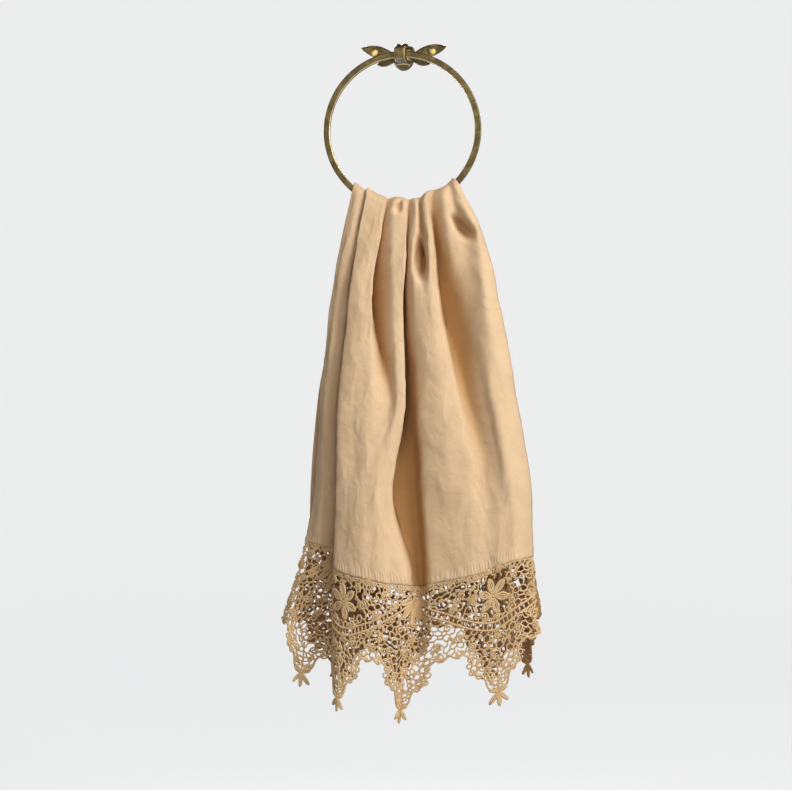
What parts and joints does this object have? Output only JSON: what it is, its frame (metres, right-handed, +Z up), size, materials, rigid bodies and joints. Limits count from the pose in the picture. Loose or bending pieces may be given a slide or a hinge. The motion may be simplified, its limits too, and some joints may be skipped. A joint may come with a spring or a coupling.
{
  "type": "hand towel on a towel ring",
  "caption": "Linen hand towel with pointed lace ends, drawn through a brass towel ring on a winged wall plate.",
  "frame": {"origin": "middle of the wall plate's back face, on the wall", "axes": "+Z up, +Y into the wall, the towel's front faces -Y"},
  "size_m": [0.265, 0.0749, 0.6811],
  "materials": {
    "linen": "washed plain-weave linen, honey beige",
    "lace": "matte guipure cord lace, golden beige",
    "aged_brass": "aged dark brass with rubbed edges",
    "screw_brass": "bright brass screw heads"
  },
  "bodies": {
    "root": {"linen_panel": "linen", "lace_front": "lace", "lace_back": "lace", "towel_ring": "aged_brass", "wall_plate": "aged_brass", "ribbed_body": "aged_brass", "clamp_block": "aged_brass", "screw_left": "screw_brass", "screw_right": "screw_brass"}
  },
  "joints": []
}
